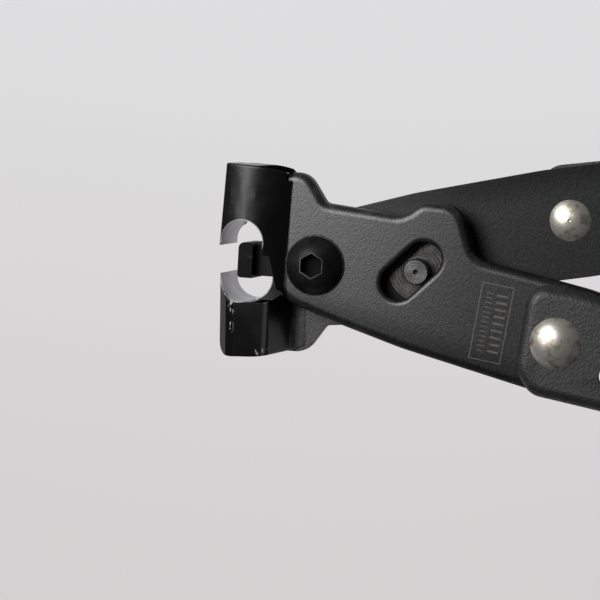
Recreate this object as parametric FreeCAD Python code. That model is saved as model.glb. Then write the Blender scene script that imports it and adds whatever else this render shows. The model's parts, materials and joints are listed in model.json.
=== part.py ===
import FreeCAD, Part
import math
import os

V = FreeCAD.Vector

# Clip-closing pliers. +X runs to the handles, +Z is the hinge axis, and the tool lies flat with z = 0
# under the pivot nut. Pieces are drawn about the middle plane between the levers, then lifted.

# Stack of plates across the hinge, from the middle plane outwards
BAR_HALF = 2.0                 # plunger bar, half its thickness
SIDE_GAP = 0.1                 # running gap on each side of the bar
PLATE = 4.0                    # lever plate
SCALE_THICK = 3.5              # grip scale
DOME = 2.6                     # rivet dome above the scale
PLATE_IN = BAR_HALF + SIDE_GAP
PLATE_OUT = PLATE_IN + PLATE
SCALE_OUT = PLATE_OUT + SCALE_THICK
LIFT = SCALE_OUT + DOME        # middle plane above the bench

# Pivot: a button-head screw in a bush, with a washer and a nut behind
SCREW_R = 4.0
BUSH_R = 4.6
RUN_FIT = 0.05
HEAD_R = 7.0
HEAD_HIGH = 4.4
HEAD_FLAT = 0.4                # how much of the head's crown is cut flat
SCREW_SHORT = 0.8              # end of the screw, inside the nut
SOCKET_FLATS = 5.0
SOCKET_DEEP = 2.6
NUT_FLATS = 13.0
WASHER_R = 7.0
WASHER_THICK = 0.8
HUB_R = 10.6
HUB_CLEAR_R = 11.3

# Jaw block
JAW_LEFT = -22.6               # jaw face at the centre line
JAW_SLANT = 0.04               # how much the jaw leans back towards its end
JAW_TOP = 22.4                 # end of the jaw, from the centre line
JAW_DEEP = 9.3                 # half depth of the jaw across the tool
JAW_FRONT = [(-22.6, 7.8), (-16.1, 9.3), (-5.6, 4.93)]      # (x, z): left edge, crown, low edge in the plate
JAW_BACK = [(-22.6, -5.6), (-20.6, -7.9), (-18.2, -9.3)]    # (x, z): facets of the back, from the face
JAW_RIDGE = (-10.4, -8.2)      # (x, z): ridge of the back, where it falls away to the plate
SCOOP = [(-7.4, -0.35), (-6.05, 1.43), (-3.9, 2.1)]    # (x, z): hollow foot of that fall
BACK_CORNER_R = 3.2            # round corner at the end of the back
BACK_CORNER_Z = -3.0           # and the depth where it begins
NOTCH_X = -17.0
NOTCH_Y = 4.4
NOTCH_R = 5.0
BACK_NOTCH_X = -12.2           # the notch runs this far back behind the plate
TIP_Y = 3.3                    # gap edge of the thin lip in front of the notch
STEP_Y = 1.7                   # gap edge behind the notch
PLATE_LEFT = -9.2              # left end of the plate, buried in the block
JAW_RIGHT = -7.4               # where the smooth jaw gives way to the plate
PLATE_TOP = 20.9               # top of the plate's shoulder
WEB_END = -3.2                 # right end of the block, under the plate
BLOCK_LOW = -9.0               # how far the block passes the centre line
CHANNEL_X = -13.2              # the bar's channel starts here
CHANNEL_HALF = 5.7
CHANNEL_GAP = 0.15             # side gap of the channel beyond the plate's

# Guide pin and its slots
PIN_X = 23.4
PIN_R = 3.0
PIN_RECESS = 0.5               # pin's end below the lever's face
PIN_CHAMFER = 0.3
CENTRE_MARK = 0.6              # radius and depth of the turning centre
GUIDE_HUB_R = 6.9
HUB_RINGS = (3.9, 4.7, 5.5, 6.3)
RING_HALF = 0.2
RING_DEEP = 0.25
EYE_R = 9.3
SLOT_ANGLE = 45.0
SLOT_HALF = 3.95
SLOT_STRAIGHT = 8.1
SLOT_CENTRE_ALONG = -0.7
PIN_TO_SLOT_EDGE = 0.2
PIN_TRAVEL = 2.6

# Plunger
TIP_FACE = -18.6
TIP_BACK = -15.2
TIP_HALF = 4.1
TIP_DEEP = 5.0
NOSE_HALF = 3.6
NOSE_STEP = 0.8                # the tongue inside the tip is this much narrower
NOSE_END = -17.2
TIP_PIN_R = 0.8

# Handles
HANDLE_END = 190.0
SCALE_START = 49.9
INNER_SCALE_START = 88.0
SCALE_OVERHANG = 0.3
SCALE_INSET = 0.4              # grip inside the plate on its inner edge, over it on the outer
EDGE_ROUND = 2.0               # outer edges of the lever
LIP_ROUND = 1.2                # lip of the guide slot
JAW_EDGE = 0.5
SCALE_ROUND = 2.8
RIVET_SHANK_R = 2.5
DOME_R = 5.8
CLOSE_R = 4.7
CLOSE_HIGH = 1.7
PUNCH_R = 0.5
NEAR_RIVET = (56.9, -13.6)
LONG_RIVETS = [(108.0, -28.0), (166.0, -34.4)]
BADGE = (30.0, 10.6, 2.4)      # length, width, corner radius
BADGE_END = (67.6, -16.6)      # middle of its left end
BADGE_TURN = -15.0             # along the handle, in degrees
BADGE_HIGH = 0.4               # how far it is sunk, and how far it stands proud


def wire_through(points):
    """Closed wire of straight lines, each corner (x, y, radius) rounded by a tangent arc."""
    ends = []
    count = len(points)
    for i, (x, y, r) in enumerate(points):
        here = V(x, y, 0)
        before = V(points[i - 1][0], points[i - 1][1], 0)
        after = V(points[(i + 1) % count][0], points[(i + 1) % count][1], 0)
        back = (before - here).normalize()
        on = (after - here).normalize()
        half = math.acos(max(-1.0, min(1.0, back.dot(on)))) / 2
        if r == 0 or abs(half - math.pi / 2) < 1e-4:
            ends.append((here, here, here))
            continue
        cut = r / math.tan(half)
        middle = here + (back + on).normalize() * (r / math.sin(half) - r)
        ends.append((here + back * cut, middle, here + on * cut))
    edges = []
    for i, (start, middle, end) in enumerate(ends):
        last = ends[i - 1][2]
        if (start - last).Length > 1e-5:
            edges.append(Part.LineSegment(last, start).toShape())
        if (end - start).Length > 1e-5:
            edges.append(Part.Arc(start, middle, end).toShape())
    return Part.Wire(Part.__sortEdges__(edges))


def slab(points, low, high):
    """Plate with the given outline between two heights."""
    face = Part.Face(wire_through(points))
    face.translate(V(0, 0, low))
    return face.extrude(V(0, 0, high - low))


def rod(r, low, high, x=0.0, y=0.0):
    return Part.makeCylinder(r, high - low, V(x, y, low))


def box(x0, x1, y0, y1, z0, z1):
    return Part.makeBox(x1 - x0, y1 - y0, z1 - z0, V(x0, y0, z0))


def hexagon(flats, low, high):
    """Hexagonal prism with a flat towards the jaws."""
    r = flats / math.sqrt(3)
    turns = [math.radians(60 * i + 30) for i in range(6)]
    corners = [(r * math.cos(t), r * math.sin(t), 0) for t in turns]
    return slab(corners, low, high)


def round_top(shape, height, radius, about=V(0, 0, 0), within=1000.0):
    """Round the edges at one height, near a point; the largest radius that the outline takes."""
    flat = [e for e in shape.Edges if all(abs(v.Z - height) < 1e-3 for v in e.Vertexes)]
    edges = [e for e in flat if all((v.Point - about).Length < within for v in e.Vertexes)]
    for share in (1.0, 0.75, 0.5, 0.3):
        try:
            rounded = shape.makeFillet(radius * share, edges)
        except Exception:
            continue
        if rounded.isValid() and rounded.Volume > 0:
            return rounded.Solids[0]
    print("left sharp at", height)
    return shape


# ---- levers ----

def handle_edges(start, inner_shift, outer_shift):
    """Edges of a handle from start to its end: the inner run, the round end, and the outer run back."""
    inner = [(66.0, -1.9, 40), (84.0, -9.6, 50), (110.0, -17.0, 90), (150.0, -23.4, 120)]
    outer = [(150.0, -45.0, 120), (108.0, -39.0, 120), (72.0, -28.6, 90)]
    run = [(x, y + inner_shift, r) for x, y, r in inner if x > start + 10]
    run += [(HANDLE_END, -24.6 + inner_shift, 9), (HANDLE_END, -44.2 - outer_shift, 9)]
    run += [(x, y - outer_shift, r) for x, y, r in outer if x > start + 10]
    return run


def plate_outline():
    """Lever outline: shoulder behind the jaw, neck, the bump over the guide slot, handle, and back."""
    front = [(PLATE_LEFT, PLATE_TOP, 0), (-2.9, PLATE_TOP, 5), (1.6, 14.3, 1.8), (19.8, 12.5, 6),
             (23.8, 15.9, 5), (32.8, 15.7, 6), (36.9, 3.7, 5), (47.0, 1.8, 20)]
    back = [(50.0, -24.6, 40), (20.9, -17.7, 60), (5.0, -12.9, 20), (-4.4, -9.6, 0), (-8.6, -5.0, 0)]
    return front + handle_edges(0, 0.0, 0.0) + back


def guide_slot():
    """Slanting slot for the guide pin; the pin runs near its lower edge."""
    along = V(math.cos(math.radians(SLOT_ANGLE)), math.sin(math.radians(SLOT_ANGLE)), 0)
    across = V(-along.y, along.x, 0)
    centre = V(PIN_X, 0, 0) + across * (SLOT_HALF - PIN_R - PIN_TO_SLOT_EDGE) + along * SLOT_CENTRE_ALONG
    half = SLOT_STRAIGHT / 2
    ends = [centre - along * half, centre + along * half]
    low, high = PLATE_IN - 1, PLATE_OUT + 1
    corners = [ends[0] + across * SLOT_HALF, ends[0] - across * SLOT_HALF,
               ends[1] - across * SLOT_HALF, ends[1] + across * SLOT_HALF]
    cut = slab([(p.x, p.y, 0) for p in corners], low, high)
    for end in ends:
        cut = cut.fuse(rod(SLOT_HALF, low, high, end.x, end.y))
    return cut.removeSplitter()


def is_outer_jaw_edge(edge):
    middle = edge.valueAt((edge.FirstParameter + edge.LastParameter) / 2)
    on_left = middle.x < NOTCH_X - NOTCH_R
    on_notch = abs(math.hypot(middle.x - NOTCH_X, middle.y - NOTCH_Y) - NOTCH_R) < 0.05
    return edge.Length > 1.5 and (middle.y > JAW_TOP - 2.2 or on_left or on_notch)


def edge_key(edge):
    middle = edge.valueAt((edge.FirstParameter + edge.LastParameter) / 2)
    return tuple(round(v, 1) for v in (middle.x, middle.y, middle.z))


def soften(body):
    """Break the jaw's outer edges one at a time, leaving sharp any that the fillet can't follow."""
    tried = set()
    while True:
        fresh = [e for e in body.Edges if is_outer_jaw_edge(e) and edge_key(e) not in tried]
        if not fresh:
            return body
        tried.add(edge_key(fresh[0]))
        try:
            softer = body.makeFillet(JAW_EDGE, [fresh[0]])
        except Exception:
            continue
        if softer.isValid() and 0.97 * body.Volume < softer.Volume < body.Volume:
            body = softer.Solids[0]


def jaw_plan():
    """Section of the jaw across the tool: crowned front, faceted back, scooped down to the plate."""
    front = [V(x, 0, z) for x, z in JAW_FRONT]
    back = [V(x, 0, z) for x, z in JAW_BACK]
    scoop = [V(x, 0, z) for x, z in SCOOP]
    end_x = WEB_END + 1
    right = [front[2], V(end_x, 0, front[2].z), V(end_x, 0, PLATE_IN), scoop[2]]
    left = [scoop[0], V(JAW_RIDGE[0], 0, JAW_RIDGE[1]), back[2], back[1], back[0], front[0]]
    edges = [Part.Arc(*front).toShape(), Part.Arc(*scoop).toShape()]
    edges += Part.makePolygon(right).Edges + Part.makePolygon(left).Edges
    return Part.Face(Part.Wire(Part.__sortEdges__(edges)))


def jaw_side():
    """Outline of the jaw seen along the hinge, with the edge of the gap between the two jaws."""
    step_x = NOTCH_X + NOTCH_R
    lip_x = NOTCH_X - NOTCH_R
    far_left = JAW_LEFT - 1
    outline = [(far_left, JAW_TOP, 0), (-12.0, 21.9, 20), (WEB_END, 19.8, 0), (WEB_END, -8, 0)]
    outline += [(-8.6, -6.2, 0), (-10.4, STEP_Y - 0.3, 0), (step_x, STEP_Y, 0.5), (step_x, NOTCH_Y, 0)]
    outline += [(lip_x, NOTCH_Y, 0), (lip_x, TIP_Y, 0), (far_left, TIP_Y, 0)]
    return slab(outline, -JAW_DEEP - 1, JAW_DEEP + 1)


def jaw_block():
    """Solid forging of the jaw: the plan section run along Y, trimmed and cleared for its neighbours."""
    back_low = -JAW_DEEP - 1
    front_high = JAW_DEEP + 1
    far_left = JAW_LEFT - 1
    run = JAW_TOP - BLOCK_LOW + 1
    plan = jaw_plan()
    plan.translate(V(JAW_SLANT * BLOCK_LOW, BLOCK_LOW, 0))
    body = plan.extrude(V(JAW_SLANT * run, run, 0)).common(jaw_side())
    body = body.cut(rod(NOTCH_R, back_low, front_high, NOTCH_X, NOTCH_Y))
    body = body.cut(box(JAW_RIGHT, 0, BLOCK_LOW, JAW_TOP + 1, PLATE_IN, PLATE_OUT))
    body = body.cut(box(JAW_RIGHT, 0, PLATE_TOP - EDGE_ROUND, JAW_TOP + 1, PLATE_IN, front_high))
    body = body.cut(rod(HUB_CLEAR_R, back_low, PLATE_IN))
    body = body.cut(rod(NOTCH_R, back_low, PLATE_IN, BACK_NOTCH_X, NOTCH_Y))
    body = body.cut(box(NOTCH_X, BACK_NOTCH_X, 0, NOTCH_Y + NOTCH_R, back_low, PLATE_IN))
    body = body.cut(box(far_left, WEB_END + 1, BLOCK_LOW, 0, back_low, PLATE_IN))
    channel_z = PLATE_IN + CHANNEL_GAP
    body = body.cut(box(CHANNEL_X, WEB_END + 1, BLOCK_LOW, CHANNEL_HALF, -channel_z, channel_z))
    corner_x = JAW_LEFT + JAW_SLANT * JAW_TOP + BACK_CORNER_R
    corner_y = JAW_TOP - BACK_CORNER_R
    corner = box(far_left, corner_x, corner_y, JAW_TOP + 1, back_low, BACK_CORNER_Z)
    corner = corner.cut(rod(BACK_CORNER_R, back_low, BACK_CORNER_Z, corner_x, corner_y))
    return soften(body).cut(corner)


def make_lever():
    plate = round_top(slab(plate_outline(), PLATE_IN, PLATE_OUT), PLATE_OUT, EDGE_ROUND)
    plate = plate.fuse(round_top(rod(HUB_R, PLATE_IN, PLATE_OUT), PLATE_OUT, EDGE_ROUND))
    slotted = plate.cut(guide_slot())
    plate = round_top(slotted, PLATE_OUT, LIP_ROUND, V(PIN_X, 0, PLATE_OUT), SLOT_STRAIGHT + SLOT_HALF)
    lever = plate.fuse(jaw_block())
    lever = lever.cut(rod(BUSH_R + RUN_FIT, PLATE_IN - 1, PLATE_OUT + 1))
    for x, y in [NEAR_RIVET] + LONG_RIVETS:
        lever = lever.cut(rod(RIVET_SHANK_R, PLATE_IN - 1, PLATE_OUT + 1, x, y))
    lever = lever.removeSplitter()
    if len(lever.Solids) != 1:
        print("lever solids", [round(s.Volume, 1) for s in lever.Solids])
    return max(lever.Solids, key=lambda s: s.Volume)


# ---- grips ----

def outer_scale():
    start = [(SCALE_START, -0.3, 5)]
    end = [(51.6, -25.4 - SCALE_OVERHANG, 5), (47.7, -20.4, 7)]
    outline = start + handle_edges(SCALE_START, -SCALE_INSET, SCALE_OVERHANG) + end
    scale = round_top(slab(outline, PLATE_OUT, SCALE_OUT), SCALE_OUT, SCALE_ROUND)
    for x, y in [NEAR_RIVET] + LONG_RIVETS:
        scale = scale.cut(rod(RIVET_SHANK_R, PLATE_OUT - 1, SCALE_OUT + 1, x, y))
    return scale.cut(badge()).Solids[0]


def inner_scale():
    start = [(INNER_SCALE_START, -12.6, 4)]
    end = [(INNER_SCALE_START, -32.6, 5)]
    outline = start + handle_edges(INNER_SCALE_START, -SCALE_INSET, SCALE_OVERHANG) + end
    low = PLATE_IN - SCALE_THICK
    scale = slab(outline, low, PLATE_IN)
    scale = round_top(scale, low, SCALE_ROUND)
    for x, y in LONG_RIVETS:
        scale = scale.cut(rod(RIVET_SHANK_R, low - 1, PLATE_IN + 1, x, y))
    return scale.Solids[0]


def dome(x, y, base, radius, high, way):
    """Rivet head: a cap of a sphere standing on a plane."""
    ball_r = (radius ** 2 + high ** 2) / (2 * high)
    ball = Part.makeSphere(ball_r, V(x, y, base + way * (high - ball_r)))
    low, top = sorted((base, base + way * (high + 1)))
    return ball.common(rod(radius + 1, low, top, x, y))


def closing_head(x, y, base):
    """Peened end of a rivet: a low cap with a punch mark."""
    head = dome(x, y, base, CLOSE_R, CLOSE_HIGH, -1)
    return head.cut(Part.makeSphere(PUNCH_R, V(x, y, base - CLOSE_HIGH - PUNCH_R / 2)))


def rivet(x, y, inner_face):
    shank = rod(RIVET_SHANK_R, inner_face, SCALE_OUT, x, y)
    whole = shank.fuse(dome(x, y, SCALE_OUT, DOME_R, DOME, 1)).fuse(closing_head(x, y, inner_face))
    return whole.removeSplitter()


def badge():
    """Blank badge set into the outer scale, along the handle."""
    length, width, corner = BADGE
    outline = [(0, width / 2, corner), (length, width / 2, corner),
               (length, -width / 2, corner), (0, -width / 2, corner)]
    plate = slab(outline, SCALE_OUT - BADGE_HIGH, SCALE_OUT + BADGE_HIGH)
    plate.rotate(V(0, 0, 0), V(0, 0, 1), BADGE_TURN)
    plate.translate(V(BADGE_END[0], BADGE_END[1], 0))
    return plate


# ---- pivot ----

def pivot_screw():
    under = PLATE_OUT + RUN_FIT
    head_ball = (HEAD_R ** 2 + HEAD_HIGH ** 2) / (2 * HEAD_HIGH)
    cap = Part.makeSphere(head_ball, V(0, 0, under + HEAD_HIGH - head_ball))
    face = under + HEAD_HIGH - HEAD_FLAT
    cap = cap.common(rod(HEAD_R, under, face))
    shank = rod(SCREW_R, -LIFT + SCREW_SHORT, under)
    socket = hexagon(SOCKET_FLATS, face - SOCKET_DEEP, under + HEAD_HIGH)
    return cap.fuse(shank).cut(socket).removeSplitter()


def pivot_bush():
    end = PLATE_OUT + RUN_FIT
    return rod(BUSH_R, -end, end).cut(rod(SCREW_R, -end - 1, end + 1))


def pivot_washer():
    top = -PLATE_OUT - RUN_FIT
    return rod(WASHER_R, top - WASHER_THICK, top).cut(rod(SCREW_R, top - 2, top + 1))


def pivot_nut():
    top = -PLATE_OUT - RUN_FIT - WASHER_THICK
    nut = hexagon(NUT_FLATS, -LIFT, top)
    return nut.cut(rod(SCREW_R, -LIFT - 1, top + 1))


# ---- plunger ----

def plunger_bar():
    """Bar between the levers: a nose in the jaws, a slot round the pivot, an eye for the guide hub."""
    tongue = NOSE_HALF - NOSE_STEP
    half = [(NOSE_END, tongue, 0), (TIP_BACK, tongue, 0), (TIP_BACK, NOSE_HALF, 0), (-7.8, NOSE_HALF, 0)]
    half += [(-3.2, 8.2, 3), (4.0, 8.2, 4), (11.0, 5.6, 4), (PIN_X, 5.6, 0)]
    outline = half + [(x, -y, r) for x, y, r in reversed(half)]
    bar = slab(outline, -BAR_HALF, BAR_HALF).fuse(rod(EYE_R, -BAR_HALF, BAR_HALF, PIN_X, 0))
    clear = BUSH_R + RUN_FIT
    bar = bar.cut(box(-PIN_TRAVEL, PIN_TRAVEL, -clear, clear, -BAR_HALF - 1, BAR_HALF + 1))
    for x in (-PIN_TRAVEL, PIN_TRAVEL):
        bar = bar.cut(rod(clear, -BAR_HALF - 1, BAR_HALF + 1, x, 0))
    bar = bar.cut(rod(GUIDE_HUB_R, -BAR_HALF - 1, BAR_HALF + 1, PIN_X, 0))
    return bar.cut(tip_pin()).removeSplitter()


def plunger_tip():
    """Hard tip that backs the clip, forked over the bar's nose."""
    outline = [(TIP_FACE, TIP_HALF, 1.4), (TIP_BACK, TIP_HALF, 0)]
    outline += [(TIP_BACK, -TIP_HALF, 0), (TIP_FACE, -TIP_HALF, 0.8)]
    tip = slab(outline, -TIP_DEEP, TIP_DEEP)
    tongue = NOSE_HALF - NOSE_STEP
    fork = box(NOSE_END, TIP_BACK + 1, -tongue, tongue, -BAR_HALF, BAR_HALF)
    return tip.cut(fork).cut(tip_pin()).removeSplitter()


def tip_pin():
    middle = (NOSE_END + TIP_BACK) / 2
    return Part.makeCylinder(TIP_PIN_R, 2 * TIP_HALF, V(middle, -TIP_HALF, 0), V(0, 1, 0))


def guide_hub():
    """Turned disc pressed into the bar's eye, with turned rings on both faces."""
    disc = rod(GUIDE_HUB_R, -BAR_HALF, BAR_HALF, PIN_X, 0)
    for ring_r in HUB_RINGS:
        groove = rod(ring_r + RING_HALF, 0, RING_DEEP, PIN_X, 0).cut(rod(ring_r - RING_HALF, -1, 1, PIN_X, 0))
        for z in (BAR_HALF - RING_DEEP, -BAR_HALF):
            disc = disc.cut(groove.translated(V(0, 0, z)))
    return disc.cut(rod(PIN_R, -BAR_HALF - 1, BAR_HALF + 1, PIN_X, 0))


def guide_pin():
    end = PLATE_OUT - PIN_RECESS
    pin = rod(PIN_R, -end, end, PIN_X, 0)
    edges = [e for e in pin.Edges if len(e.Vertexes) == 1]
    pin = pin.makeChamfer(PIN_CHAMFER, edges)
    for way in (1, -1):
        mark = Part.makeCone(CENTRE_MARK, 0.0, CENTRE_MARK, V(PIN_X, 0, way * end), V(0, 0, -way))
        pin = pin.cut(mark)
    return pin


# ---- whole tool ----

lever = make_lever()
side = {
    "lever": lever,
    "outer_scale": outer_scale(),
    "inner_scale": inner_scale(),
    "near_rivet": rivet(NEAR_RIVET[0], NEAR_RIVET[1], PLATE_IN),
    "long_rivets": Part.makeCompound([rivet(x, y, PLATE_IN - SCALE_THICK) for x, y in LONG_RIVETS]),
    "badge": badge(),
}
pieces = {
    "pivot_screw": pivot_screw(),
    "pivot_bush": pivot_bush(),
    "pivot_washer": pivot_washer(),
    "pivot_nut": pivot_nut(),
    "plunger_bar": plunger_bar(),
    "plunger_tip": plunger_tip(),
    "tip_pin": tip_pin(),
    "guide_hub": guide_hub(),
    "guide_pin": guide_pin(),
}
for name, shape in side.items():
    pieces["front_" + name] = shape
    turned = shape.copy()
    turned.rotate(V(0, 0, 0), V(1, 0, 0), 180)
    pieces["rear_" + name] = turned

os.makedirs("parts", exist_ok=True)
for name, shape in pieces.items():
    lifted = shape.copy()
    lifted.translate(V(0, 0, LIFT))
    lifted.exportStep("parts/" + name + ".step")
    print(name, len(lifted.Solids), lifted.isValid(), round(lifted.Volume, 1))
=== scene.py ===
import bpy
import json
import math
from mathutils import Euler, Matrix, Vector


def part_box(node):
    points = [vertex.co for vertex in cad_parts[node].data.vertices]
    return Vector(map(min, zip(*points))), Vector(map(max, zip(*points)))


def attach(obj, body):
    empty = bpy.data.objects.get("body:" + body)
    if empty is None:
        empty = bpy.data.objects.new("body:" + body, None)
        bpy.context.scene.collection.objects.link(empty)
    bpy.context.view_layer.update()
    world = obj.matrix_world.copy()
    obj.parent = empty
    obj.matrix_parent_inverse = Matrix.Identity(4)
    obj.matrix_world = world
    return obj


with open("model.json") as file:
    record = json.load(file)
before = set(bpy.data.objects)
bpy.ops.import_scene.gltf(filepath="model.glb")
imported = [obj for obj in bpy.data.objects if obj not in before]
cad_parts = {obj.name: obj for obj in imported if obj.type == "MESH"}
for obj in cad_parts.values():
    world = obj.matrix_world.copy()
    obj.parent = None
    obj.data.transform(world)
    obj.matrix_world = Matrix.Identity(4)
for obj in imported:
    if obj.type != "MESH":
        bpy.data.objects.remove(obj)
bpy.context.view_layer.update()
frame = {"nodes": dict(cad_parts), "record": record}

MM = 0.001

# ---- places read from the frame ----


def centre_of(node):
    low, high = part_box(node)
    return (Vector(low) + Vector(high)) / 2


PIVOT = centre_of("pivot_bush")
PIN = centre_of("guide_pin")

# Places on the front lever: x in the frame, y from the pivot. The rear lever is the same, turned over.
NOTCH = (PIVOT.x - 17.0 * MM, 4.4 * MM)       # middle of the bored notch in the jaws
NOTCH_R = 5.0 * MM
MARK = (PIVOT.x + 41.6 * MM, -10.3 * MM)      # middle of the etched panel
MARK_TURN = math.radians(-7.5)
MARK_HALF = (3.6 * MM, 8.7 * MM)              # half its width and height
OUTER_FACE = 5.5 * MM                         # depth past which the outer face begins

# Distances from the pivot towards the jaws
JAW_EDGE = 6.3 * MM                           # where the jaw's bulge meets the flat of the lever
NICK_STRIP = 18.7 * MM                        # nicked strip on the jaw's back
NICK_MIDDLE = 12.5 * MM                       # and how far its middle is from the centre line
RIDGE = 10.6 * MM                             # ridge of the jaw's back
FOOT = 4.7 * MM                               # foot of the hollow beside it

SOCKET_RIM = 2.55 * MM                        # half the screw's socket across flats
SOCKET_RISE = 8.5 * MM                        # its rim is higher than this above the pivot's middle

BADGE_END = (PIVOT.x + 67.6 * MM, -16.6 * MM)
BADGE_SIZE = (30.0 * MM, 10.6 * MM, 2.4 * MM)    # length, width, corner radius
BADGE_TURN = math.radians(-15.0)
BADGE_TOP = 10.0 * MM                         # above the pivot's middle
CORNER_STEPS = 8                              # steps round each corner of the border


# ---- node graph helpers ----

class Graph:
    """A material's node tree, with short calls for the nodes used here."""

    def __init__(self, name):
        self.material = bpy.data.materials.new(name)
        self.material.use_nodes = True
        self.tree = self.material.node_tree
        self.shader = self.tree.nodes["Principled BSDF"]
        coordinates = self.add("ShaderNodeTexCoord")
        self.place = coordinates.outputs["Object"]

    def add(self, kind):
        return self.tree.nodes.new(kind)

    def link(self, source, target):
        self.tree.links.new(source, target)

    def set(self, **values):
        for key, value in values.items():
            self.shader.inputs[key.replace("_", " ")].default_value = value

    def math(self, operation, a, b=None):
        node = self.add("ShaderNodeMath")
        node.operation = operation
        for socket, value in zip(node.inputs, (a, b)):
            if value is None:
                continue
            if isinstance(value, (int, float)):
                socket.default_value = value
            else:
                self.link(value, socket)
        return node.outputs[0]

    def times(self, first, *others):
        product = first
        for other in others:
            product = self.math("MULTIPLY", product, other)
        return product

    def absolute(self, value):
        return self.math("ABSOLUTE", value)

    def reach(self, dx, dy):
        """Length of a flat vector."""
        return self.math("SQRT", self.math("ADD", self.times(dx, dx), self.times(dy, dy)))

    def band(self, value, centre, inner, outer):
        """1 within the inner distance of a centre, falling to 0 at the outer one."""
        return self.ramp(self.absolute(self.math("SUBTRACT", value, centre)), outer, inner)

    def axes(self):
        node = self.add("ShaderNodeSeparateXYZ")
        self.link(self.place, node.inputs[0])
        return node.outputs

    def stretched(self, scale):
        node = self.add("ShaderNodeMapping")
        node.inputs["Scale"].default_value = scale
        self.link(self.place, node.inputs[0])
        return node.outputs[0]

    def noise(self, scale, detail=4.0, rough=0.5, place=None):
        node = self.add("ShaderNodeTexNoise")
        node.inputs["Scale"].default_value = scale
        node.inputs["Detail"].default_value = detail
        node.inputs["Roughness"].default_value = rough
        self.link(place or self.place, node.inputs["Vector"])
        return node.outputs["Fac"]

    def cells(self, scale):
        node = self.add("ShaderNodeTexVoronoi")
        node.feature = "SMOOTH_F1"
        node.inputs["Scale"].default_value = scale
        self.link(self.place, node.inputs["Vector"])
        return node.outputs["Distance"]

    def ramp(self, value, low, high, out_low=0.0, out_high=1.0):
        node = self.add("ShaderNodeMapRange")
        node.interpolation_type = "SMOOTHSTEP"
        for socket, number in zip(node.inputs[1:5], (low, high, out_low, out_high)):
            socket.default_value = number
        self.link(value, node.inputs["Value"])
        return node.outputs[0]

    def mix(self, fac, a, b):
        """Blend of two colours, or of two numbers, each a value or a socket."""
        is_colour = any(isinstance(v, tuple) for v in (a, b)) or getattr(a, "type", "") == "RGBA"
        node = self.add("ShaderNodeMix")
        node.data_type = "RGBA" if is_colour else "FLOAT"
        first = 6 if is_colour else 2
        self.link(fac, node.inputs[0])
        for socket, value in zip(node.inputs[first:first + 2], (a, b)):
            if isinstance(value, tuple):
                socket.default_value = (*value, 1.0)
            elif isinstance(value, (int, float)):
                socket.default_value = value
            else:
                self.link(value, socket)
        return node.outputs[2 if is_colour else 0]

    def bump(self, height, depth_mm, strength, after=None):
        node = self.add("ShaderNodeBump")
        node.inputs["Strength"].default_value = strength
        node.inputs["Distance"].default_value = depth_mm * MM
        self.link(height, node.inputs["Height"])
        if after is not None:
            self.link(after, node.inputs["Normal"])
        return node.outputs[0]

    def finish(self, colour, rough, metal=None, normal=None):
        inputs = {"Base Color": colour, "Roughness": rough, "Metallic": metal, "Normal": normal}
        for name, value in inputs.items():
            if value is not None:
                self.link(value, self.shader.inputs[name])
        return self.material

    def facing(self):
        """The three parts of the surface's own direction."""
        node = self.add("ShaderNodeSeparateXYZ")
        self.link(self.add("ShaderNodeNewGeometry").outputs["Normal"], node.inputs[0])
        return node.outputs

    def edge_wear(self, sharp=0.06):
        """1 on convex edges, 0 on flats."""
        node = self.add("ShaderNodeNewGeometry")
        return self.ramp(node.outputs["Pointiness"], 0.5 + sharp * 0.5, 0.5 + sharp)


# ---- materials ----

def etched_panel(g, x, y, depth, side):
    """Thin outline with two rows of ticks, etched into the outer face of the lever."""
    dx = g.math("SUBTRACT", x, MARK[0])
    dy = g.math("SUBTRACT", g.times(y, side), MARK[1])
    cos, sin = math.cos(MARK_TURN), math.sin(MARK_TURN)
    across = g.math("ADD", g.times(dx, cos), g.times(dy, sin))
    along = g.math("SUBTRACT", g.times(dy, cos), g.times(dx, sin))
    tall = g.absolute(along)
    past_side = g.math("SUBTRACT", g.absolute(across), MARK_HALF[0])
    past_end = g.math("SUBTRACT", tall, MARK_HALF[1])
    outline = g.band(g.math("MAXIMUM", past_side, past_end), 0.0, 0.08 * MM, 0.16 * MM)

    bold_lines = g.ramp(g.math("PINGPONG", along, 0.8 * MM), 0.30 * MM, 0.20 * MM)
    bold = g.times(bold_lines, g.band(across, 1.5 * MM, 1.2 * MM, 1.3 * MM))
    fine_lines = g.ramp(g.math("PINGPONG", along, 0.55 * MM), 0.14 * MM, 0.08 * MM)
    fine = g.times(fine_lines, g.band(across, -1.5 * MM, 0.8 * MM, 0.9 * MM))
    ticks = g.times(g.math("MAXIMUM", bold, fine), g.ramp(tall, 7.0 * MM, 6.9 * MM))

    worn = g.ramp(g.noise(900, 3, 0.6), 0.22, 0.45)
    outside = g.ramp(depth, OUTER_FACE, OUTER_FACE + 0.3 * MM)
    return g.times(g.math("MAXIMUM", outline, ticks), worn, outside)


def coat_sheen(g, y, along, level, side):
    """Shine of the coat, which is most near the hinge and less along the back edge and the handle."""
    back_slope = 0.26
    from_back = g.math("SUBTRACT", g.times(y, side), g.times(along, back_slope))
    dulled = g.ramp(from_back, -11.0 * MM, -3.0 * MM, 0.45, 1.0)
    if side < 0:
        return g.times(g.ramp(along, -40.0 * MM, -2.0 * MM, 0.24, 0.60), dulled)
    rounded_off = g.ramp(level, 0.50, 0.85, 0.2, 1.0)
    return g.times(g.ramp(along, -45.0 * MM, -5.0 * MM, 0.42, 0.66), dulled, rounded_off)


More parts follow.
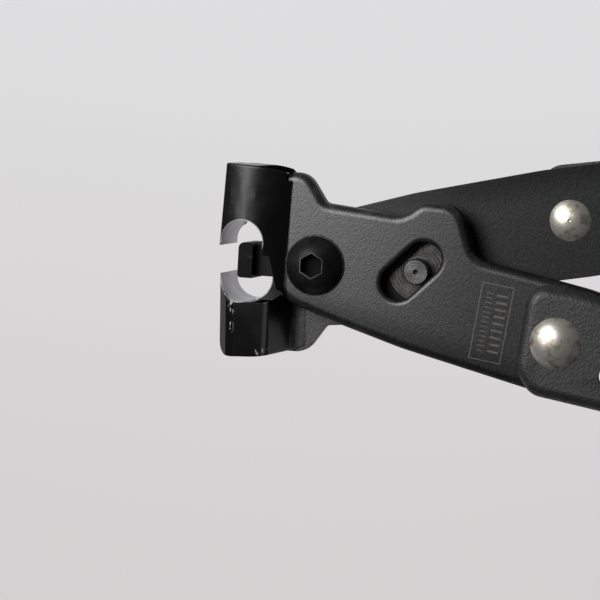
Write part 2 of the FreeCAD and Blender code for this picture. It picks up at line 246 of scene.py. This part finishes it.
def nicks(g, y, along, depth):
    """Nicks through the coat, on the jaw's back: a strip beside its face, and the end of its ridge."""
    off_centre = g.absolute(y)
    strip = g.times(g.band(along, NICK_STRIP, 0.5 * MM, 1.1 * MM),
                    g.band(off_centre, NICK_MIDDLE, 3.4 * MM, 4.6 * MM))
    ridge_end = g.times(g.ramp(off_centre, 19.6 * MM, 20.4 * MM), g.ramp(along, 9.0 * MM, 9.6 * MM),
                        g.ramp(along, 13.0 * MM, 12.0 * MM), g.ramp(depth, -6.6 * MM, -7.6 * MM))
    dashes = g.ramp(g.noise(1200, 3, 0.65, g.stretched((1.0, 0.45, 1.0))), 0.56, 0.62)
    return g.times(dashes, g.math("MAXIMUM", strip, ridge_end), g.ramp(depth, -3.0 * MM, -4.0 * MM))


def lever_material(name, side):
    """Satin black forging: pebbled coat on the flats, smooth jaw, bare notch wall, nicks and painted
    highlight bands on the jaw's back.
    """
    g = Graph(name)
    x, y, z = g.axes()
    steep, level = g.facing()[1:]
    along = g.math("SUBTRACT", PIVOT.x, x)
    depth = g.times(g.math("SUBTRACT", z, PIVOT.z), side)
    jaw = g.ramp(along, JAW_EDGE - 0.3 * MM, JAW_EDGE + 0.3 * MM)
    flat = g.math("SUBTRACT", 1.0, jaw)
    from_notch = g.reach(g.math("SUBTRACT", x, NOTCH[0]), g.math("SUBTRACT", y, side * NOTCH[1]))
    wall = g.times(g.ramp(from_notch, NOTCH_R + 0.25 * MM, NOTCH_R + 0.1 * MM), jaw)

    # coat on the flats, and the smooth black of the jaw
    mottle = g.noise(1300, 4, 0.55)
    broad = g.noise(120, 3, 0.5)
    orange_peel = g.noise(2600, 3, 0.6)
    colour = g.mix(g.ramp(mottle, 0.3, 0.7), (0.0045, 0.0047, 0.0052), (0.0075, 0.0078, 0.0085))
    colour = g.mix(g.ramp(broad, 0.3, 0.8, 0.0, 0.1), colour, (0.008, 0.008, 0.0087))
    colour = g.mix(jaw, colour, (0.0022, 0.0022, 0.0024))
    rough = g.mix(g.ramp(mottle, 0.3, 0.7), 0.36, 0.44)
    rough = g.mix(jaw, rough, g.mix(g.ramp(broad, 0.3, 0.7), 0.22, 0.30))
    end_face = g.times(g.ramp(g.absolute(steep), 0.6, 0.85), g.ramp(along, 17.0 * MM, 14.0 * MM))
    jaw_gloss = g.mix(end_face, 0.26, 0.0)
    gloss = g.mix(jaw, coat_sheen(g, y, along, level, side), jaw_gloss)
    g.link(gloss, g.shader.inputs["Specular IOR Level"])

    # nicks, and painted highlight bands on the ridge of the jaw's back and the foot of the hollow beside it
    colour = g.mix(nicks(g, y, along, depth), colour, (0.36, 0.34, 0.32))
    # painted highlight: a lighter band along the foot of the hollow
    foot = g.times(g.band(along, FOOT, 0.2 * MM, 1.3 * MM), g.ramp(depth, 2.6 * MM, 2.3 * MM),
                   g.ramp(g.absolute(y), 9.0 * MM, 12.0 * MM))
    colour = g.mix(g.times(foot, 0.7), colour, (0.08, 0.08, 0.083))
    # painted highlight: a lighter line along the ridge of the jaw's back
    ridge = g.times(g.band(along, RIDGE, 0.1 * MM, 0.8 * MM), g.ramp(depth, -7.0 * MM, -7.6 * MM))
    colour = g.mix(g.times(ridge, 0.55), colour, (0.035, 0.035, 0.037))

    # bare, ground wall of the notch
    ground = g.mix(g.ramp(broad, 0.3, 0.7), (0.30, 0.295, 0.315), (0.42, 0.41, 0.43))
    colour = g.mix(wall, colour, ground)
    rough = g.mix(wall, rough, 0.38)
    metal = g.times(wall, 0.7)

    # wear on rounded edges, then the etched panel
    round_edge = g.times(g.ramp(level, 0.2, 0.5), g.ramp(level, 0.97, 0.8))
    wear = g.times(round_edge, g.ramp(g.noise(260, 4, 0.6), 0.5, 0.66, 0.0, 0.12), flat)
    colour = g.mix(wear, colour, (0.12, 0.115, 0.11))
    etched = etched_panel(g, x, y, depth, side)
    colour = g.mix(g.times(etched, 0.8), colour, (0.085, 0.076, 0.068))

    grain = g.times(flat, g.math("ADD", mottle, orange_peel))
    eased = g.add("ShaderNodeBevel")
    eased.samples = 4
    eased.inputs["Radius"].default_value = 0.35 * MM
    return g.finish(colour, rough, metal, g.bump(grain, 0.035, 0.7, eased.outputs[0]))


def bar_material():
    """Dull black bar between the levers."""
    g = Graph("bar_black")
    mottle = g.noise(500, 4, 0.55)
    colour = g.mix(g.ramp(mottle, 0.3, 0.7), (0.003, 0.003, 0.0032), (0.005, 0.005, 0.0053))
    rough = g.mix(g.ramp(mottle, 0.3, 0.7), 0.38, 0.52)
    g.set(Specular_IOR_Level=0.08)
    return g.finish(colour, rough, None, g.bump(mottle, 0.03, 0.4))


def jaw_black_material():
    """Dull black tip, with a few rubbed streaks."""
    g = Graph("tip_black")
    broad = g.noise(300, 4, 0.6)
    rubs = g.noise(500, 5, 0.7, g.stretched((1.0, 1.0, 0.15)))
    colour = g.mix(g.ramp(rubs, 0.62, 0.72), (0.002, 0.002, 0.0021), (0.03, 0.028, 0.026))
    rough = g.mix(g.ramp(broad, 0.3, 0.7), 0.34, 0.5)
    g.set(Specular_IOR_Level=0.05)
    return g.finish(colour, rough, None, g.bump(broad, 0.03, 0.3))


def fastener_material():
    """Black oxide with fine turning rings round the hinge axis, and a rubbed rim on the hex socket."""
    g = Graph("black_oxide")
    x, y, z = g.axes()
    dx = g.math("SUBTRACT", x, PIVOT.x)
    dy = g.math("SUBTRACT", y, PIVOT.y)
    reach = g.reach(dx, dy)
    rings = g.math("SINE", g.times(reach, 22000.0))
    broad = g.noise(220, 4, 0.6)
    colour = g.mix(g.ramp(broad, 0.35, 0.7), (0.003, 0.003, 0.0032), (0.007, 0.006, 0.006))
    rubbed = g.times(g.edge_wear(0.05), g.ramp(reach, 4.0 * MM, 5.0 * MM, 0.0, 0.35))
    colour = g.mix(rubbed, colour, (0.2, 0.19, 0.19))

    # distance to the nearest side of a hexagon with a flat towards the jaws
    lean = g.times(dx, math.cos(math.radians(60)))
    rise = g.times(dy, math.sin(math.radians(60)))
    sum_side = g.absolute(g.math("ADD", lean, rise))
    difference_side = g.absolute(g.math("SUBTRACT", lean, rise))
    hexagon = g.math("MAXIMUM", g.absolute(dx), g.math("MAXIMUM", sum_side, difference_side))
    on_top = g.ramp(z, PIVOT.z + SOCKET_RISE, PIVOT.z + SOCKET_RISE + 0.5 * MM)
    rim = g.times(g.band(hexagon, SOCKET_RIM, 0.05 * MM, 0.16 * MM), on_top)
    colour = g.mix(g.times(rim, g.ramp(broad, 0.3, 0.6, 0.3, 0.8)), colour, (0.13, 0.125, 0.12))

    rough = g.mix(g.ramp(broad, 0.3, 0.7), 0.36, 0.5)
    g.link(g.ramp(reach, 2.7 * MM, 3.0 * MM, 0.02, 0.14), g.shader.inputs["Specular IOR Level"])
    return g.finish(colour, rough, None, g.bump(g.math("ADD", rings, g.noise(1500, 3)), 0.008, 0.35))


def grip_material():
    """Pebbled black plastic."""
    g = Graph("grip_pebble")
    warp = g.noise(400, 2)
    pebbles = g.cells(1500)
    fine = g.noise(2800, 3, 0.6)
    height = g.math("ADD", g.ramp(pebbles, 0.0, 0.7, 1.0, 0.0), g.times(fine, 0.4))
    colour = g.mix(g.ramp(warp, 0.3, 0.7), (0.008, 0.008, 0.0085), (0.013, 0.013, 0.0135))
    colour = g.mix(g.times(g.edge_wear(), 0.2), colour, (0.05, 0.05, 0.052))
    rough = g.mix(g.ramp(pebbles, 0.1, 0.6), 0.42, 0.58)
    g.set(Specular_IOR_Level=0.42)
    return g.finish(colour, rough, None, g.bump(height, 0.06, 0.75))


def rivet_material():
    """Nickel-plated steel, with faint stains and small dents."""
    g = Graph("rivet_nickel")
    stain = g.noise(330, 5, 0.62)
    spots = g.noise(1100, 3, 0.6)
    rust = g.noise(240, 3, 0.55)
    colour = g.mix(g.ramp(stain, 0.46, 0.64), (0.64, 0.605, 0.54), (0.30, 0.265, 0.205))
    colour = g.mix(g.ramp(rust, 0.66, 0.74, 0.0, 0.7), colour, (0.30, 0.13, 0.05))
    rough = g.mix(g.ramp(stain, 0.35, 0.7), 0.30, 0.42)
    g.set(Metallic=0.84)
    dents = g.math("ADD", stain, g.times(spots, 0.4))
    return g.finish(colour, rough, None, g.bump(dents, 0.03, 0.3))


def turned_material(name, centre, dark, light, rough_low, rough_high):
    """Bare steel turned about an upright axis."""
    g = Graph(name)
    x, y = g.axes()[:2]
    reach = g.reach(g.math("SUBTRACT", x, centre.x), g.math("SUBTRACT", y, centre.y))
    rings = g.math("SINE", g.times(reach, 26000.0))
    coarse = g.math("SINE", g.times(reach, 9000.0))
    stain = g.noise(420, 4, 0.6)
    colour = g.mix(g.ramp(stain, 0.35, 0.7), dark, light)
    rough = g.mix(g.ramp(coarse, -1.0, 1.0), rough_low, rough_high)
    g.set(Metallic=1.0)
    grooves = g.math("ADD", rings, g.times(coarse, 0.6))
    return g.finish(colour, rough, None, g.bump(grooves, 0.02, 0.28))


def bronze_material():
    """Sintered bronze bearing, with darker pores."""
    g = Graph("bush_bronze")
    pores = g.noise(900, 4, 0.6)
    colour = g.mix(g.ramp(pores, 0.4, 0.7), (0.46, 0.31, 0.15), (0.28, 0.18, 0.08))
    g.set(Metallic=1.0)
    return g.finish(colour, g.mix(pores, 0.3, 0.5), None, g.bump(pores, 0.03, 0.4))


def badge_material():
    """Smooth black badge, slightly hazed."""
    g = Graph("badge_black")
    haze = g.noise(260, 4, 0.6)
    colour = g.mix(g.ramp(haze, 0.3, 0.7), (0.012, 0.012, 0.013), (0.022, 0.022, 0.024))
    return g.finish(colour, g.mix(haze, 0.16, 0.34), None, g.bump(g.noise(1200, 3), 0.01, 0.3))


def border_material():
    """Pale paint, worn grey in places."""
    g = Graph("badge_border")
    wear = g.noise(700, 5, 0.65)
    colour = g.mix(g.ramp(wear, 0.5, 0.72), (0.72, 0.71, 0.69), (0.42, 0.41, 0.39))
    return g.finish(colour, g.mix(wear, 0.35, 0.6), None, g.bump(wear, 0.02, 0.3))


def paint_nodes():
    """Give every CAD node its material, and the levers even shading."""
    hub = turned_material("hub_turned", PIN, (0.045, 0.043, 0.042), (0.085, 0.080, 0.076), 0.34, 0.5)
    pin = turned_material("pin_turned", PIN, (0.055, 0.055, 0.056), (0.085, 0.085, 0.087), 0.34, 0.46)
    by_slot = {
        "grip": grip_material(), "rivet_steel": rivet_material(), "badge": badge_material(),
        "black_fastener": fastener_material(), "bearing_bronze": bronze_material(),
        "jaw_black": jaw_black_material(), "bare_steel": hub,
    }
    by_node = {
        "front_lever": lever_material("front_lever_coat", 1),
        "rear_lever": lever_material("rear_lever_coat", -1),
        "plunger_bar": bar_material(), "guide_pin": pin,
    }
    slots = {part["node"]: part["material_slot"] for part in frame["record"]["subparts"]}
    for node, thing in frame["nodes"].items():
        material = by_node.get(node) or by_slot[slots[node]]
        thing.data.materials.clear()
        thing.data.materials.append(material)
        if node.endswith("_lever"):
            even = thing.modifiers.new("even_normals", "WEIGHTED_NORMAL")
            even.keep_sharp = True


# ---- pieces the CAD leaves out ----

def rounded_loop(length, width, corner, inset, height):
    """Points of a rounded rectangle that starts at x = 0, drawn in by an inset."""
    bend = corner - inset
    right = length - corner
    top = width / 2 - corner
    centres = ((right, top), (corner, top), (corner, -top), (right, -top))
    points = []
    for quarter, (cx, cy) in enumerate(centres):
        for i in range(CORNER_STEPS + 1):
            a = math.radians(90 * (quarter + i / CORNER_STEPS))
            points.append((cx + bend * math.cos(a), cy + bend * math.sin(a), height))
    return points


def badge_border(side, body):
    """Raised pale outline round a badge."""
    foot = BADGE_TOP - 0.05 * MM
    crest = BADGE_TOP + 0.15 * MM
    profile = ((0.35 * MM, foot), (0.40 * MM, crest), (0.95 * MM, crest), (1.0 * MM, foot))
    loops = [rounded_loop(*BADGE_SIZE, inset, height) for inset, height in profile]
    count = len(loops[0])
    faces = []
    for a in range(len(loops)):
        b = (a + 1) % len(loops)
        for i in range(count):
            j = (i + 1) % count
            faces.append((a * count + i, a * count + j, b * count + j, b * count + i))
    cos, sin = math.cos(BADGE_TURN), math.sin(BADGE_TURN)
    corners = []
    for x, y, z in (point for loop in loops for point in loop):
        along = BADGE_END[0] + x * cos - y * sin
        across = BADGE_END[1] + x * sin + y * cos
        corners.append((along, PIVOT.y + side * across, PIVOT.z + side * z))
    mesh = bpy.data.meshes.new(body + "_badge_border")
    mesh.from_pydata(corners, [], faces)
    thing = bpy.data.objects.new(mesh.name, mesh)
    bpy.context.collection.objects.link(thing)
    mesh.materials.append(border_material())
    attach(thing, body)


# ---- stage, light and camera ----

def backdrop():
    """Pale paper sweep, well behind the tool and lit by itself, a little darker towards the bottom."""
    bpy.ops.mesh.primitive_plane_add(size=6, location=(0, 0, -0.30))
    floor = bpy.context.object
    floor.name = "floor"
    g = Graph("floor_paper")
    haze = g.noise(3, 2)
    shade = g.ramp(g.axes()[1], -0.15, 0.15)
    paper = g.mix(shade, (0.672, 0.645, 0.651), (0.753, 0.753, 0.768))
    g.link(paper, g.shader.inputs["Emission Color"])
    g.set(Emission_Strength=0.9)
    g.finish(g.mix(haze, (0.10, 0.10, 0.10), (0.11, 0.11, 0.11)), g.mix(haze, 0.85, 0.95))
    floor.data.materials.append(g.material)


def softbox(name, place, aim, size, power):
    """Rectangular lamp, placed and aimed from the pivot, in metres."""
    lamp = bpy.data.lights.new(name, "AREA")
    lamp.shape = "RECTANGLE"
    lamp.size, lamp.size_y = size
    lamp.energy = power
    thing = bpy.data.objects.new(name, lamp)
    bpy.context.collection.objects.link(thing)
    thing.location = PIVOT + Vector(place)
    thing.rotation_euler = (Vector(aim) - Vector(place)).to_track_quat("-Z", "Y").to_euler()


def lights():
    """Faint cool fill from all round, and one soft lamp above the jaws."""
    world = bpy.data.worlds.new("studio")
    world.use_nodes = True
    sky = world.node_tree.nodes["Background"]
    sky.inputs["Color"].default_value = (0.93, 0.95, 1.0, 1)
    sky.inputs["Strength"].default_value = 0.06
    bpy.context.scene.world = world
    softbox("key", (-0.155, 0.135, 0.29), (-0.02, 0.0, 0.0), (0.24, 0.26), 2.3)


def camera():
    """Nearly square on to the levers, from slightly towards the handles."""
    lens = bpy.data.cameras.new("camera")
    lens.sensor_width = 36
    lens.lens = 158.5
    thing = bpy.data.objects.new("camera", lens)
    thing.location = (141.2 * MM, 37.4 * MM, 605.7 * MM)
    thing.rotation_euler = Euler([math.radians(a) for a in (-3.55, 14.01, 3.18)])
    bpy.context.collection.objects.link(thing)
    bpy.context.scene.camera = thing


paint_nodes()
badge_border(1, "front_lever")
badge_border(-1, "rear_lever")
backdrop()
lights()
camera()
bpy.context.scene.view_settings.view_transform = "Standard"
